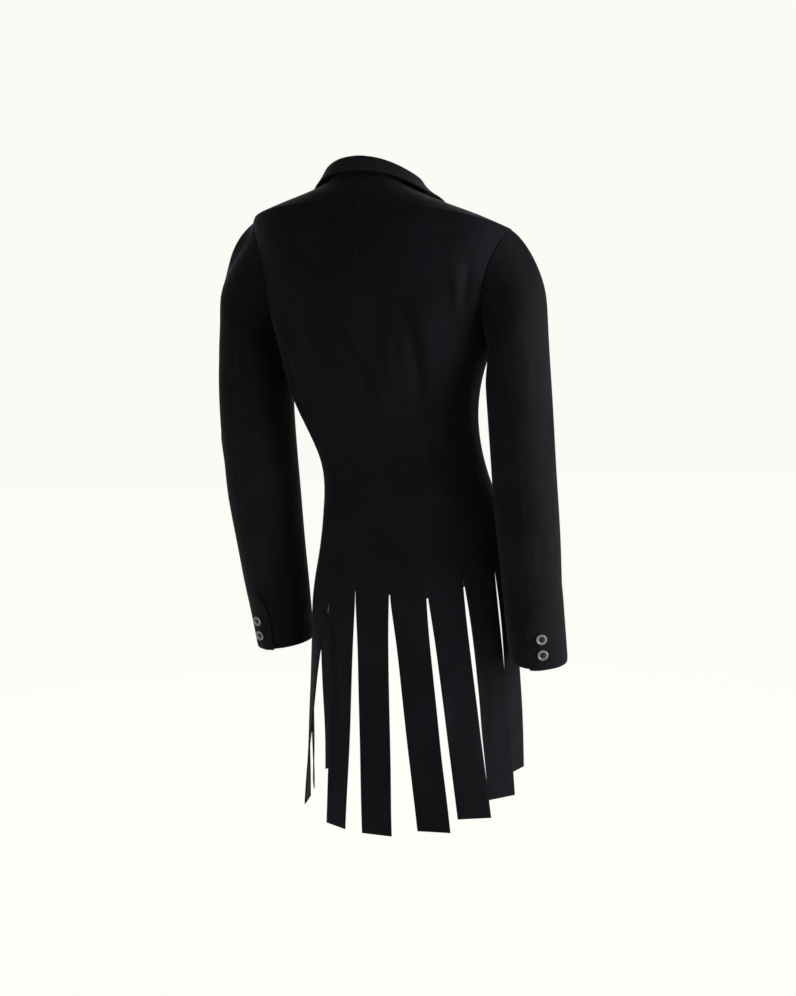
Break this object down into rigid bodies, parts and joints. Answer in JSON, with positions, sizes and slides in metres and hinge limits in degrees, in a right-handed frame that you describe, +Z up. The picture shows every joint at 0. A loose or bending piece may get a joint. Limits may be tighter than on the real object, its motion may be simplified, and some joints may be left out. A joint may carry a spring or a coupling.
{
  "type": "blazer",
  "caption": "Fitted blazer filled out as worn, with turned-down collar, long two-piece sleeves with cuff vents and a skirt cut into long strips behind.",
  "frame": {"origin": "on the body's axis at the height of the shoulders, where the wearer holds the garment up", "axes": "+Z up from hem to collar, -Y towards the wearer's front, +X towards the wearer's left"},
  "size_m": [0.5124, 0.2953, 0.962],
  "materials": {
    "wool_body": "fine matt wool",
    "wool_side": "fine matt wool",
    "wool_front": "fine matt wool",
    "wool_lapel": "fine matt wool",
    "wool_collar": "fine matt wool",
    "wool_top_sleeve": "fine matt wool",
    "wool_under_sleeve": "fine matt wool",
    "button_gloss": "polished"
  },
  "bodies": {
    "root": {"back_left": "wool_body", "back_right": "wool_body", "side_left": "wool_side", "side_right": "wool_side", "front_left": "wool_front", "front_right": "wool_front", "lapel_left": "wool_lapel", "lapel_right": "wool_lapel", "collar": "wool_collar", "sleeve_top_left": "wool_top_sleeve", "sleeve_top_right": "wool_top_sleeve", "sleeve_under_left": "wool_under_sleeve", "sleeve_under_right": "wool_under_sleeve", "cuff_button_left_1": "button_gloss", "cuff_button_left_2": "button_gloss", "cuff_button_right_1": "button_gloss", "cuff_button_right_2": "button_gloss", "front_button_1": "button_gloss", "front_button_2": "button_gloss"}
  },
  "joints": []
}
